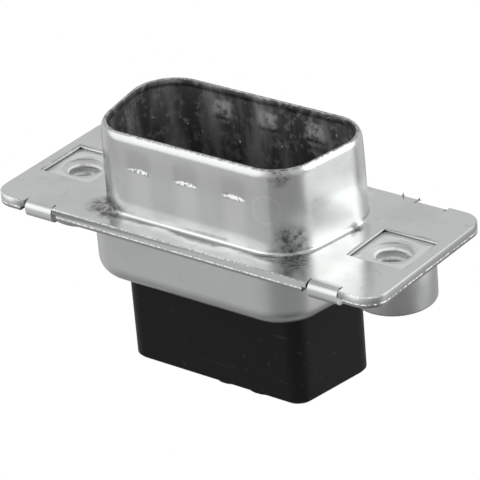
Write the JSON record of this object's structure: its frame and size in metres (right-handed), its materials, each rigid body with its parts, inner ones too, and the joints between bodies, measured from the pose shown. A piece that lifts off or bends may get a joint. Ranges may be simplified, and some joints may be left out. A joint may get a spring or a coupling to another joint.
{
  "type": "d-sub connector housing",
  "caption": "Metal-shelled trapezoid plug housing with an open D-shaped hood, flange with threaded inserts, and a black insulator block with empty crimp contact cavities.",
  "frame": {"origin": "under the middle of the insulator's rear face, on which the housing stands", "axes": "+X along the flange, +Y towards the wide side of the D, +Z out of the hood's mouth"},
  "size_m": [0.0308, 0.0126, 0.0174],
  "materials": {
    "shell": "bright tin plate on drawn steel, semi-gloss",
    "insulator": "satin black glass-filled moulding",
    "insert": "dull tin plate on turned steel"
  },
  "bodies": {
    "root": {"front_shell": "shell", "rear_shell": "shell", "front_insulator": "insulator", "rear_insulator": "insulator", "threaded_insert_left": "insert", "threaded_insert_right": "insert"}
  },
  "joints": []
}
